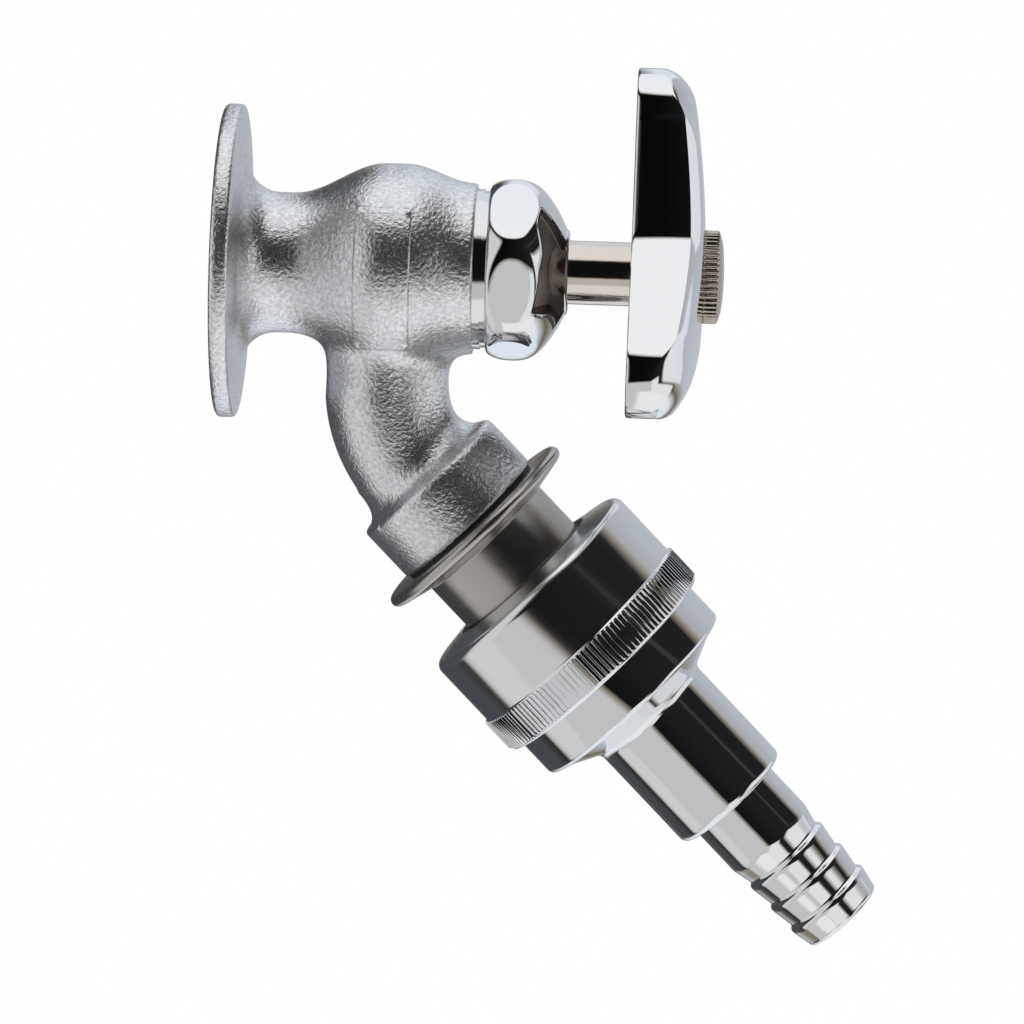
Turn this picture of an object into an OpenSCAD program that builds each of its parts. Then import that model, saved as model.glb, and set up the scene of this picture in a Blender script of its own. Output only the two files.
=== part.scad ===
// Wall-mounted screw-down tap with a quick hose coupling.
// Millimetres. The origin is the centre of the wall face of the flange.
// +X runs out from the wall along the inlet and the spindle, +Z is up.
// The outlet hangs below the inlet in the plane Y = 0. Its own axis starts at
// the elbow point, where the leg's centre line meets the sloping outlet.

/* [Main sizes] */
// Distance from the wall to the top of the handle
handle_out = 83; // [80:0.1:92]
// Length of the outlet, from the elbow point to the end of the hose tail
outlet_len = 116.6; // [112:0.1:126]

/* [Casting] */
// Diameter of the wall flange
flange_d = 54; // [40:0.5:80]
// Thickness of the flange at its rim
flange_t = 3.2; // [2:0.1:6]
// Rise of the flange's front face from rim to neck
flange_dish = 0.6; // [0:0.1:2]
// Radius of the fillet between flange and neck
flange_fillet = 6; // [2:0.5:9]
// Diameter of the waisted neck
neck_d = 24.2; // [23:0.1:28]
// Straight length of the neck
neck_len = 2.4; // [1:0.1:12]
// Length over which the neck swells into the bulb
bulb_rise = 16; // [12:0.5:26]
// Largest diameter of the bulb
bulb_d = 35.4; // [32:0.2:46]
// Length of the bulb at its full diameter
bulb_len = 3.5; // [1:0.5:12]
// Length over which the bulb falls to the boss
bulb_fall = 11.5; // [9:0.5:20]
// Diameter of the boss that the cover nut screws on
boss_d = 29.5; // [28.4:0.1:34]
// Length of the boss's end band
boss_len = 0.6; // [0.4:0.1:4]
// Width of the rounding at the edges of the casting
cast_edge = 0.5; // [0.3:0.1:1.2]
// Diameter of the threaded spigot inside the cover nut
spigot_d = 24.8; // [22:0.1:25.2]
// Length of the spigot past the boss
spigot_len = 7.4; // [5:0.1:9]

/* [Outlet leg] */
// Distance from the wall to the leg's centre line
leg_x = 29.1; // [28.2:0.1:30]
// Depth of the elbow point under the inlet's centre line
elbow_drop = 28.9; // [27:0.1:40]
// Outer diameter of the leg
leg_d = 21.4; // [19:0.1:24]
// Centre-line radius of the elbow
bend_r = 20; // [14:0.5:20]
// Slope of the outlet below the horizontal
spout_angle = 45; // [40:1:60]
// Straight length between the elbow and the collar
leg_run = 1.8; // [0.5:0.1:10]
// Length over which the elbow swells into the collar
elbow_flare = 6; // [4:0.5:9]
// Diameter of the outlet collar
collar_d = 29.1; // [26:0.1:36]
// Length of the outlet collar
collar_len = 10.7; // [10.6:0.1:20]

/* [Plate] */
// Distance from the wall to the raised plate
plate_x = 23.5; // [20:0.1:26]
// Length of the plate along the inlet
plate_w = 9.8; // [6:0.1:11]
// Height of the plate's top edge over the centre line
plate_top = 11.5; // [6:0.1:13]
// Depth of the plate's bottom edge under the centre line
plate_bottom = 13.2; // [6:0.1:14]
// Height of the plate over the bulb
plate_t = 0.45; // [0.2:0.05:1]

/* [Waterway] */
// Minor diameter of the G 1/2 inlet thread
inlet_d = 18.63; // [16:0.01:19]
// Depth of the inlet thread
inlet_depth = 13; // [9:0.5:15]
// Diameter of the hole through the seat
seat_bore_d = 12; // [9:0.1:13]
// Outer diameter of the seat
seat_d = 16; // [14.5:0.1:17]
// Height of the seat over the chamber floor
seat_h = 1.6; // [0.8:0.1:2.2]
// Distance from the wall to the chamber floor
chamber_x = 21; // [20:0.1:22.5]
// Diameter of the valve chamber
chamber_d = 25; // [23:0.1:26]
// Length of the valve chamber
chamber_len = 15; // [14:0.1:16]
// Length of the cone at the end of the chamber
chamber_cone = 2; // [1:0.1:2.5]
// Bore of the leg
leg_bore_d = 14; // [10:0.1:15]
// Radius by which the outlet's bore is wider than the leg's
bore_step = 0.6; // [0.4:0.1:1]

/* [Valve] */
// Diameter of the rubber valve face
jumper_washer_d = 15.6; // [14.2:0.1:17]
// Thickness of the rubber valve face
jumper_washer_t = 2.7; // [1.5:0.1:3.2]
// Diameter of the jumper's disc
jumper_d = 16.6; // [14:0.1:19]
// Thickness of the jumper's disc
jumper_t = 2; // [1.2:0.1:2.5]
// Diameter of the jumper's stem
jumper_stem_d = 6; // [4:0.1:6.6]
// Length of the jumper's stem
jumper_stem_len = 10.5; // [6:0.1:12]
// Diameter of the jumper's stud
stud_d = 3; // [2:0.1:4]
// Width across the flats of the jumper's nut
jumper_nut_af = 5.5; // [5:0.1:7]
// Thickness of the jumper's nut
jumper_nut_t = 2; // [1.2:0.1:3]
// Length of stud that stands out of the jumper's nut
stud_tip = 0.4; // [0.2:0.1:1]
// Depth of the spindle's hole past the end of the jumper's stem
jumper_play = 1.5; // [0.5:0.1:3]

/* [Spindle] */
// Diameter of the spindle's stem
stem_d = 11; // [9:0.1:12]
// Outer diameter of the spindle's thread
stem_thread_d = 13.8; // [12.6:0.1:15]
// Room over the spindle's thread when the tap is fully open
lift_play = 1.05; // [0.9:0.05:2]
// Diameter of the spindle's foot, in front of the thread
stem_foot_d = 12; // [9:0.1:12.5]
// Length of the foot
stem_foot_len = 9; // [8.4:0.1:9.4]
// Outer diameter of the splined end
spline_d = 8.6; // [7:0.1:9]
// Depth of the splines
spline_depth = 0.4; // [0.2:0.05:0.6]
// Number of splines
spline_count = 18; // [13:1:24]
// Distance from the handle's top to the end of the spindle
spline_inset = 2.8; // [2.4:0.1:4]

/* [Cover nut] */
// Thickness of the washer against the boss
bonnet_washer_t = 1.2; // [0.6:0.1:2]
// Diameter of the washer against the boss
bonnet_washer_d = 27.6; // [26.8:0.1:29]
// Thickness of the gasket under the nut
bonnet_gasket_t = 0.9; // [0.5:0.1:1.5]
// Diameter of the gasket under the nut
bonnet_gasket_d = 27; // [26.6:0.1:28]
// Width across the flats of the cover nut
nut_af = 28.8; // [28:0.1:34]
// Largest diameter of the nut's crown
nut_crown_d = 31.6; // [31:0.1:38]
// Diameter of the nut's back face
nut_back_d = 28.8; // [28:0.1:31]
// Distance from the nut's back face to its crown
nut_crown_x = 4.4; // [3:0.1:6]
// Length from the crown over which the nut keeps its fullness
nut_fullness = 5.5; // [1:0.1:6.5]
// Length of the cover nut
nut_len = 13.9; // [13.5:0.1:18]
// Diameter of the nut's nose
nut_nose_d = 15.6; // [15.2:0.1:18]
// Length of the rounded nose
nut_nose_len = 1; // [0.5:0.1:1.5]
// Gap over the end of the spigot inside the nut
bonnet_play = 0.2; // [0.1:0.05:0.4]
// Turn of the nut's corners about its axis
nut_turn = 25; // [0:1:59]
// Diameter of the packing space in the nut
packing_d = 18.4; // [16.5:0.1:19]
// Thickness of the packing washer
packing_washer_t = 1.2; // [0.6:0.1:2]
// Length of the stem packing
packing_len = 4.1; // [3:0.1:4.6]

/* [Handle] */
// Number of arms
arm_count = 3; // [3:1:5]
// Turn of the first arm about the spindle, 180 pointing up
arm_turn = 180; // [0:1:359]
// Distance from the spindle to the centre of an arm's round end
arm_reach = 28; // [24:0.1:40]
// Radius of an arm's round end
arm_end_r = 7.6; // [6:0.1:9]
// Distance from the spindle to the waist between two arms
arm_waist = 15.5; // [13:0.1:18]
// Depth of the handle at its hub
handle_h = 12.4; // [11:0.1:18]
// Fall of the handle's crowned top at the centre of the arm ends
crown_fall = 2.9; // [1:0.1:3.5]
// Share of that fall that is reached halfway out to the arm ends
crown_dip = 0.1; // [0.05:0.01:0.4]
// Width of the rounding at the top of the arm ends
arm_round = 5; // [2:0.1:6]
// Height of that rounding
arm_round_h = 6; // [2:0.1:6.4]
// Reach of that rounding's foot past the arm ends
arm_round_over = 0.3; // [0.2:0.05:0.6]
// Wall thickness of the handle
handle_wall = 2.2; // [1.5:0.1:3]
// Diameter of the hub under the handle
hub_d = 15; // [13:0.1:18]
// Gap between the handle's rim and the foot of its hub
hub_recess = 0.7; // [0.3:0.1:2]
// Depth that the screw's head sinks into the handle
cap_sink = 0.2; // [0.1:0.05:0.3]
// Gap round the sunk part of the screw's head
cap_gap = 0.5; // [0.2:0.1:1]

/* [Handle screw] */
// Diameter of the screw's knurled head
cap_d = 16.1; // [13:0.1:20]
// Height of the knurled band
cap_band = 2.7; // [1.5:0.1:5]
// Height of the domed end
cap_dome = 1; // [0.5:0.1:2]
// Number of flutes round the head
cap_flutes = 48; // [24:1:60]
// Depth of the flutes
cap_flute_depth = 0.32; // [0.1:0.02:0.6]
// Diameter of the screw's shank
cap_screw_d = 5; // [4:0.1:6]
// Length of the screw's shank
cap_screw_len = 11; // [8:0.1:14]

/* [Nozzle] */
// Outer diameter of the nozzle's G 1/2 thread
nozzle_thread_d = 20.9; // [18:0.1:22]
// Length of the nozzle's thread
nozzle_thread_len = 9; // [6:0.1:9.8]
// Bore of the nozzle
nozzle_bore_d = 16; // [10:0.1:17]
// Diameter of the gasket under the disc
nozzle_gasket_d = 28; // [25:0.1:36]
// Thickness of the gasket under the disc
nozzle_gasket_t = 0.6; // [0.4:0.1:2]
// Radius by which the disc is smaller than the coupling it faces
disc_inset = 0.25; // [-2:0.05:2]
// Thickness of the disc at its rim
disc_t = 2.2; // [1.2:0.1:4]
// Rise of the disc's front face from rim to tube
disc_dish = 1.4; // [0.2:0.1:3]
// Angle over which the disc's rim is rounded, past its widest line
disc_sweep = 75; // [60:1:85]
// Outer diameter of the tube
tube_d = 25.7; // [22:0.1:27]
// Length of tube that shows between disc and sleeve
tube_show = 9.3; // [4:0.1:30]
// Length of tube inside the coupling
plug_len = 24.3; // [22:0.1:24.5]
// Width of the bevel at the tube's end
plug_bevel = 1; // [0.5:0.1:1.5]
// Distance from the tube's end to its O-ring
oring_inset = 6; // [5:0.1:7]
// Thickness of the O-ring's section
oring_d = 2.2; // [1.6:0.1:2.6]
// Depth of the collar's thread past the nozzle's
nozzle_run_out = 0.6; // [0.2:0.1:0.8]

/* [Coupling sleeve] */
// Wall of the sleeve round the socket
sleeve_wall = 1.6; // [1.2:0.1:4]
// Length of the sleeve
sleeve_len = 21; // [20.8:0.1:22.4]
// Rise of the sleeve's sloping top
sleeve_slope = 1; // [0.3:0.1:1.4]
// Radius that rounds the sleeve's top edge
sleeve_round = 1.9; // [0.8:0.1:2.4]
// Height of the knurled ring over the sleeve
knurl_rise = 0.65; // [0.3:0.05:2]
// Distance from the sleeve's mouth to the knurled ring
knurl_x = 14.2; // [10:0.1:14.3]
// Length of the knurled ring
knurl_len = 6.3; // [4:0.1:6.4]
// Width of the bevels beside the knurled ring
knurl_bevel = 0.3; // [0.1:0.05:0.35]
// Depth from the sleeve's mouth to the inner face of its top
sleeve_top_t = 1.75; // [1.7:0.05:2.2]
// Distance the sleeve slides back to release the nozzle
sleeve_travel = 3; // [2:0.1:3.2]
// Length of the sleeve's inner land over the balls
land_len = 4.6; // [4.2:0.1:5]
// Depth of the recess that frees the balls, past the land's bore
ball_recess = 1.7; // [1.5:0.1:1.9]
// Width of the wiper in the sleeve's mouth
wiper_w = 1.45; // [1:0.05:3]
// Thickness of the wiper
wiper_t = 1.4; // [0.8:0.1:1.5]
// Depth of the wiper's face in the sleeve's mouth
wiper_inset = 0.15; // [0.05:0.05:0.2]
// Gap left over the socket when the sleeve is drawn back
sleeve_spare = 0.3; // [0.1:0.05:0.4]
// Distance from the socket's end to the snap ring
ring_inset = 1.7; // [1.5:0.1:1.8]
// Thickness of the snap ring
ring_t = 1; // [0.8:0.1:1.1]
// Depth of the snap ring's groove
ring_groove = 0.8; // [0.5:0.1:1]
// Gap round the snap ring
ring_gap = 0.4; // [0.2:0.1:0.6]

/* [Coupling socket] */
// Outer diameter of the visible lower part
socket_d = 39.8; // [39:0.1:40.4]
// Length of the visible lower part, past the sleeve
socket_show = 6.7; // [5:0.1:12]
// Length of the spring space in the socket
spring_space = 7; // [6.8:0.1:7.6]
// Width of the rounding at the lower part's edge
socket_round = 1.9; // [1:0.1:2.4]
// Length of that rounding
socket_round_len = 1.15; // [0.6:0.05:2]
// Length of the socket's shoulder cone
shoulder_len = 3.3; // [2:0.1:6]
// Outer diameter of the stepped end under the shoulder
step_d = 22.7; // [20:0.1:26]
// Rounding between the shoulder and the stepped end
step_fillet = 1.2; // [0.4:0.1:2]
// Length of the rounding at the stepped end
step_round = 1.5; // [1:0.1:2.8]
// Width of the stepped end's flat face
step_face = 1; // [0.3:0.1:1.6]
// Diameter of the waterway between nozzle and hose tail
throat_d = 13; // [9:0.1:15]
// Number of locking balls
ball_count = 8; // [4:1:10]
// Diameter of a locking ball
ball_d = 4.8; // [4:0.1:5]
// Depth that the balls sink into the tube's groove
ball_sink = 1.5; // [1.1:0.1:1.7]
// Distance from the end of the sleeve's land to the balls
ball_inset = 1.8; // [1.6:0.1:2]
// Thickness of the seal at the bottom of the socket
socket_seal_t = 2.6; // [1.5:0.1:3]

/* [Spring] */
// Thickness of the spring's wire
wire_d = 0.9; // [0.7:0.1:1]
// Turns of the spring
spring_turns = 3; // [2:0.5:3]

/* [Hose tail] */
// Outer diameter of the tail's plain neck
tail_d = 17; // [14:0.1:18]
// Bore of the tail
tail_bore_d = 10; // [6:0.1:12]
// Height of the step where the neck meets the part inside the socket
tail_step = 0.2; // [0.1:0.05:0.6]
// Length of the tail inside the socket
tail_grip = 13; // [9:0.1:14]
// Distance from the tail's inner end to its O-ring
tail_oring_inset = 3.2; // [2:0.1:5]
// Thickness of that O-ring's section
tail_oring_d = 1.6; // [1.2:0.1:2]
// Length of the plain neck that shows
tail_neck = 9.5; // [6:0.1:12]
// Diameter at the root of the barbs
barb_root_d = 15.3; // [13:0.1:16]
// Diameter at the crest of the barbs
barb_d = 16.64; // [14:0.01:16.9]
// Length of one barb
barb_pitch = 5.2; // [3:0.1:6.5]
// Length of the rise to a barb's crest
barb_rise = 0.7; // [0.3:0.1:1.5]
// Length of a barb's crest
barb_crest = 0.4; // [0.2:0.1:1]
// Number of barbs
barb_count = 3; // [1:1:4]
// Length of the cone between the neck and the first barb
tail_cone = 3.5; // [1:0.1:6]
// Diameter of the tail's tip
tip_d = 13; // [12.2:0.1:15]
// Length of the tip's rounding
tip_round = 0.9; // [0.4:0.1:1.5]

/* [Fits] */
// Radial clearance of parts that turn or slide on each other
run = 0.05; // [0.02:0.01:0.1]
// Radial clearance of parts that move past each other without bearing
loose = 0.1; // [0.05:0.01:0.3]
// Gap between the valve face and its seat when the tap is shut
seat_gap = 0.05; // [0.02:0.01:0.2]
// Lift of the valve when the tap is fully open
lift = 6.25; // [2:0.25:6.5]

/* [Hidden] */
$fn = 96;
eps = 0.01;
// Length by which a cutting shape passes the face that it opens
over = 1;

// Places along the inlet's axis, from the wall
neck_x = flange_t + flange_dish + flange_fillet;
bulb_x = neck_x + neck_len + bulb_rise;
boss_x = bulb_x + bulb_len + bulb_fall;
boss_end = boss_x + boss_len;
spigot_end = boss_end + spigot_len;
seat_x = chamber_x + seat_h;
chamber_end = chamber_x + chamber_len;
nut_x = boss_end + bonnet_washer_t + bonnet_gasket_t;
nut_end = nut_x + nut_len;
packing_x = spigot_end + packing_washer_t;
packing_end = packing_x + packing_len;
handle_top = handle_out;
handle_x = handle_top - handle_h;
cap_x = handle_top - cap_sink;
washer_x = seat_x + seat_gap;
jumper_x = washer_x + jumper_washer_t;
stem_x = jumper_x + jumper_t + seat_gap;
stem_thread_x = stem_x + stem_foot_len;
stem_thread_len = spigot_end - stem_thread_x - lift - lift_play;
hub_x = handle_x + hub_recess;
stem_end = handle_top - spline_inset;
stem_hole = jumper_stem_len + jumper_play;
bore_top = seat_d / 2 + seat_h;

// Places along the outlet's axis, from the elbow point
turn = 90 - spout_angle;
bend_tan = bend_r * tan(turn / 2);
collar_x = bend_tan + leg_run;
collar_end = collar_x + collar_len;
thread_bore_len = nozzle_thread_len + nozzle_run_out;
disc_x = collar_end + nozzle_gasket_t;
disc_end = disc_x + disc_t + disc_dish;
mouth_x = disc_end + tube_show;
socket_x = mouth_x + sleeve_top_t + sleeve_travel + sleeve_spare;
ring_x = socket_x + ring_inset;
land_x = ring_x + ring_t + loose;
ball_x = land_x + ball_inset;
land_end = land_x + land_len;
spring_x = land_end + loose;
spring_end = land_end + spring_space;
spring_rise = spring_end - loose - spring_x - wire_d;
sleeve_end = mouth_x + sleeve_len;
knurl_end = mouth_x + knurl_x + knurl_len;
wiper_x = mouth_x + wiper_inset;
plug_end = mouth_x + plug_len;
oring_x = plug_end - oring_inset;
seal_x = plug_end + 2 * loose;
socket_floor = seal_x + socket_seal_t + loose;
lower_end = sleeve_end + socket_show;
shoulder_x = lower_end + socket_round_len;
shoulder_end = shoulder_x + shoulder_len;
tail_end = outlet_len;
barb_x = tail_end - barb_count * barb_pitch;
tail_neck_end = barb_x - tail_cone;
step_end = tail_neck_end - tail_neck;
tail_x = step_end - tail_grip;
tail_oring_x = tail_x + tail_oring_inset;

// Radii that follow from one another through the fits
tube_r = tube_d / 2;
socket_bore_r = tube_r + loose;
ball_r = ball_d / 2;
ball_groove_r = tube_r - ball_sink;
ball_orbit = ball_groove_r + run + ball_r;
socket_neck_r = ball_orbit + ball_r;
ring_groove_r = socket_neck_r - ring_groove;
land_r = socket_neck_r + loose;
recess_r = land_r + ball_recess;
wiper_r = socket_bore_r + wiper_w;
sleeve_bore_r = socket_d / 2 + run;
sleeve_r = sleeve_bore_r + sleeve_wall;
knurl_r = sleeve_r + knurl_rise;
spring_mean_r = (socket_neck_r + sleeve_bore_r) / 2;
disc_r = socket_d / 2 - disc_inset;
oring_r = oring_d / 2;
oring_groove_r = tube_r + run - oring_d;
tail_grip_r = tail_d / 2 + tail_step;
tail_oring_r = tail_oring_d / 2;
tail_groove_r = tail_grip_r + run - tail_oring_d;

// Turns what is drawn along +Z onto the inlet's axis
module on_inlet(x = 0) translate([x, 0, 0]) rotate([0, 90, 0]) children();

// Turns what is drawn along +Z onto the outlet's axis
module on_outlet(x = 0) translate([leg_x, 0, -elbow_drop]) rotate([0, 90 + spout_angle, 0])
    translate([0, 0, x]) children();

// A solid of revolution from points of [radius, place along the axis]
module turned(points) rotate_extrude() polygon(points);

// A ring with a plain bore
module ring(outer_r, inner_r, length) difference() {
    cylinder(r = outer_r, h = length);
    translate([0, 0, -over]) cylinder(r = inner_r, h = length + 2 * over);
}

// A ring of round section, such as an O-ring
module round_ring(mean_r, section_r) rotate_extrude() translate([mean_r, 0]) circle(r = section_r, $fn = 48);

// Points of a smooth S from [r0, x0] to [r1, x1], both ends level
function swell(r0, x0, r1, x1, n = 12) = [
    for (i = [0:n]) let (t = i / n) [r0 + (r1 - r0) * (1 - cos(180 * t)) / 2, x0 + (x1 - x0) * t]
];

// Points of a circular arc about [r, x] from angle a to angle b
function arc(r, x, radius, a, b, n = 8) = [
    for (i = [0:n]) let (t = a + (b - a) * i / n) [r + radius * cos(t), x + radius * sin(t)]
];

// Points of a curve from p to s that leaves p towards q and arrives at s from q
function bow(p, q, s, n = 8) = [
    for (i = [0:n]) let (t = i / n) p * (1 - t) * (1 - t) + q * 2 * t * (1 - t) + s * t * t
];

// Corners of a toothed round, with a crest and a root for each tooth
function toothed(outer_r, depth, count) = [
    for (i = [0:2 * count - 1])
        let (r = outer_r - (i % 2) * depth, a = 180 * i / count) [r * cos(a), r * sin(a)]
];

// Outline of the casting round the inlet's axis, raised by the given height
function casting_outline(up = 0) = let (fillet_r = neck_d / 2 + flange_fillet) concat(
    [[0, 0]],
    arc(flange_d / 2 - cast_edge, cast_edge, cast_edge, -90, 0, 4),
    arc(flange_d / 2 - cast_edge, flange_t - cast_edge, cast_edge, 0, 90, 4),
    arc(fillet_r, neck_x, flange_fillet - up, 270, 180, 8),
    swell(neck_d / 2 + up, neck_x + neck_len, bulb_d / 2 + up, bulb_x),
    swell(bulb_d / 2 + up, bulb_x + bulb_len, boss_d / 2 + up, boss_x),
    [[boss_d / 2 + up, boss_end - cast_edge / 2], [boss_d / 2 - cast_edge / 2, boss_end]],
    [[spigot_d / 2, boss_end], [spigot_d / 2, spigot_end], [0, spigot_end]]
);

// Leg and elbow of the given radius, from the inlet's axis to past the elbow
module leg(r, run_out) {
    translate([leg_x, 0, -elbow_drop + bend_tan]) cylinder(r = r, h = elbow_drop - bend_tan);
    translate([leg_x + bend_r, 0, -elbow_drop + bend_tan]) rotate([90, 0, 0]) rotate([0, 0, 180])
        rotate_extrude(angle = turn) translate([bend_r, 0]) circle(r = r);
    on_outlet(bend_tan) cylinder(r = r, h = run_out);
}

module tap_body() color([0.74, 0.75, 0.77]) difference() {
    union() {
        on_inlet() turned(casting_outline());
        intersection() {
            on_inlet() turned(casting_outline(plate_t));
            translate([plate_x, -bulb_d, -plate_bottom]) cube([plate_w, bulb_d, plate_top + plate_bottom]);
        }
        leg(leg_d / 2, leg_run + over);
        on_outlet() turned(concat(
            [[0, collar_x - elbow_flare]],
            bow([leg_d / 2 - eps, collar_x - elbow_flare], [leg_d / 2, collar_x],
                [collar_d / 2 - cast_edge, collar_x + eps]),
            [[0, collar_x + eps]]
        ));
        on_outlet() turned(concat(
            [[0, collar_x]],
            arc(collar_d / 2 - cast_edge, collar_x + cast_edge, cast_edge, -90, 0, 4),
            [[collar_d / 2, collar_end - cast_edge / 2], [collar_d / 2 - cast_edge / 2, collar_end]],
            [[0, collar_end]]
        ));
    }
    on_inlet(-over) cylinder(d = inlet_d, h = inlet_depth + over);
    on_inlet() cylinder(d = seat_bore_d, h = seat_x + over);
    on_inlet() turned([
        [0, seat_x], [seat_d / 2, seat_x], [seat_d / 2, chamber_x], [chamber_d / 2, chamber_x],
        [chamber_d / 2, chamber_end - chamber_cone], [stem_thread_d / 2 + run, chamber_end], [0, chamber_end]
    ]);
    on_inlet(chamber_end - eps) cylinder(r = stem_thread_d / 2 + run, h = spigot_end - chamber_end + over);
    translate([leg_x, 0, -elbow_drop]) cylinder(d = leg_bore_d, h = elbow_drop - bore_top);
    on_outlet() cylinder(r = leg_bore_d / 2 + bore_step, h = collar_end - thread_bore_len + over);
    on_outlet(collar_end - thread_bore_len)
        cylinder(r = nozzle_thread_d / 2 + run, h = thread_bore_len + over);
}

module bonnet_washer() color([0.8, 0.81, 0.83]) on_inlet(boss_end)
    ring(bonnet_washer_d / 2, spigot_d / 2 + run, bonnet_washer_t);

module bonnet_gasket() color([0.62, 0.63, 0.65]) on_inlet(boss_end + bonnet_washer_t)
    ring(bonnet_gasket_d / 2, spigot_d / 2 + run, bonnet_gasket_t);

module bonnet() color([0.86, 0.87, 0.89]) on_inlet(nut_x) difference() {
    intersection() {
        rotate([0, 0, nut_turn]) cylinder(d = nut_af / cos(30), h = nut_len, $fn = 6);
        turned(concat(
            [[0, 0]],
            bow([nut_back_d / 2, 0], [nut_crown_d / 2, nut_crown_x / 4], [nut_crown_d / 2, nut_crown_x]),
            bow([nut_crown_d / 2, nut_crown_x], [nut_crown_d / 2, nut_crown_x + nut_fullness],
                [nut_nose_d / 2, nut_len - nut_nose_len]),
            bow([nut_nose_d / 2, nut_len - nut_nose_len], [nut_nose_d / 2, nut_len],
                [nut_nose_d / 2 - nut_nose_len, nut_len], 4),
            [[0, nut_len]]
        ));
    }
    translate([0, 0, -over]) cylinder(r = spigot_d / 2 + run, h = spigot_end - nut_x + bonnet_play + over);
    cylinder(d = packing_d, h = packing_end - nut_x + loose);
    cylinder(r = stem_d / 2 + loose, h = nut_len + over);
}

module packing_washer() color([0.8, 0.68, 0.4]) on_inlet(spigot_end)
    ring(packing_d / 2 - loose, stem_d / 2 + loose, packing_washer_t);

module stem_packing() color([0.12, 0.12, 0.13]) on_inlet(packing_x)
    ring(packing_d / 2 - run, stem_d / 2 + run, packing_len);

module spindle() color([0.72, 0.68, 0.64]) difference() {
    on_inlet() {
        translate([0, 0, stem_x]) cylinder(d = stem_foot_d, h = stem_foot_len);
        translate([0, 0, stem_thread_x]) cylinder(d = stem_thread_d, h = stem_thread_len);
        translate([0, 0, stem_thread_x]) cylinder(d = stem_d, h = hub_x - stem_thread_x);
        translate([0, 0, stem_thread_x]) linear_extrude(stem_end - stem_thread_x)
            polygon(toothed(spline_d / 2, spline_depth, spline_count));
    }
    on_inlet(stem_x - over) cylinder(r = jumper_stem_d / 2 + run, h = stem_hole + over);
    on_inlet(cap_x - cap_screw_len - over) cylinder(r = cap_screw_d / 2 + run, h = cap_screw_len + 2 * over);
}

// Corners of one arm: a waist, then the straight side and the round end it runs into
function arm(reach, end_r, waist, half) = let (
    w = [waist * cos(half), -waist * sin(half)],
    gap = norm([reach - w.x, w.y]),
    side = atan2(-w.y, reach - w.x) - asin(end_r / gap)
) concat([w], arc(reach, 0, end_r, side - 90, 90 - side, 24));

// Outline of the handle, drawn as one polygon so that the arms share no inner edges
module arms(inset = 0) {
    half = 180 / arm_count;
    one = arm(arm_reach, arm_end_r - inset, arm_waist - inset / sin(half), half);
    polygon([
        for (i = [0:arm_count - 1], p = one)
            let (a = arm_turn + 2 * half * i) [p.x * cos(a) - p.y * sin(a), p.x * sin(a) + p.y * cos(a)]
    ]);
}

// The crowned outside of the handle, a solid of revolution lowered by inset.
// It is turned so that its seam lies clear of the waists between the arms.
module crown(inset = 0) {
    rim = arm_reach + arm_end_r + arm_round_over - inset;
    top = handle_h - inset;
    edge = top - crown_fall;
    slope = bow([rim - arm_round, edge], [arm_reach / 2, top - crown_fall * crown_dip], [cap_d / 2, top], 6);
    rotate([0, 0, 90 / arm_count]) turned(concat(
        [[0, -over], [rim, -over]],
        bow([rim, edge - arm_round_h], [rim, edge], [rim - arm_round, edge], 8),
        [for (i = [1:len(slope) - 1]) slope[i]],
        [[0, top]]
    ));
}

module handle() color([0.86, 0.87, 0.89]) on_inlet(handle_x) difference() {
    union() {
        difference() {
            intersection() {
                linear_extrude(handle_h + over) arms();
                crown();
            }
            intersection() {
                translate([0, 0, -over]) linear_extrude(handle_h) arms(handle_wall);
                crown(handle_wall);
            }
        }
        translate([0, 0, hub_recess]) cylinder(d = hub_d, h = handle_h - hub_recess - handle_wall / 2);
    }
    linear_extrude(handle_h + over) polygon(toothed(spline_d / 2 + run, spline_depth, spline_count));
    translate([0, 0, cap_x - handle_x]) cylinder(r = cap_d / 2 + cap_gap, h = cap_sink + over);
}

module handle_cap() color([0.66, 0.6, 0.5]) on_inlet(cap_x) {
    linear_extrude(cap_band) polygon(toothed(cap_d / 2, cap_flute_depth, cap_flutes));
    translate([0, 0, cap_band]) turned(concat(
        bow(
            [cap_d / 2 - 2 * cap_flute_depth, 0], [cap_d / 2 - 2 * cap_flute_depth, cap_dome], [0, cap_dome], 6
        ),
        [[0, 0]]
    ));
    translate([0, 0, -cap_screw_len]) cylinder(d = cap_screw_d, h = cap_screw_len);
}

module jumper() color([0.8, 0.68, 0.4]) on_inlet(jumper_x) {
    cylinder(d = jumper_d, h = jumper_t);
    cylinder(d = jumper_stem_d, h = jumper_t + jumper_stem_len);
    stud_len = jumper_washer_t + jumper_nut_t + stud_tip;
    translate([0, 0, -stud_len]) cylinder(d = stud_d, h = stud_len + eps);
}

module jumper_washer() color([0.1, 0.1, 0.1]) on_inlet(washer_x)
    ring(jumper_washer_d / 2, stud_d / 2 + run, jumper_washer_t);

module jumper_nut() color([0.8, 0.68, 0.4]) on_inlet(washer_x - jumper_nut_t) difference() {
    cylinder(d = jumper_nut_af / cos(30), h = jumper_nut_t, $fn = 6);
    translate([0, 0, -over]) cylinder(r = stud_d / 2 + run, h = jumper_nut_t + 2 * over);
}

module nozzle_gasket() color([0.1, 0.1, 0.1]) on_outlet(collar_end)
    ring(nozzle_gasket_d / 2, nozzle_thread_d / 2 + run, nozzle_gasket_t);

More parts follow.
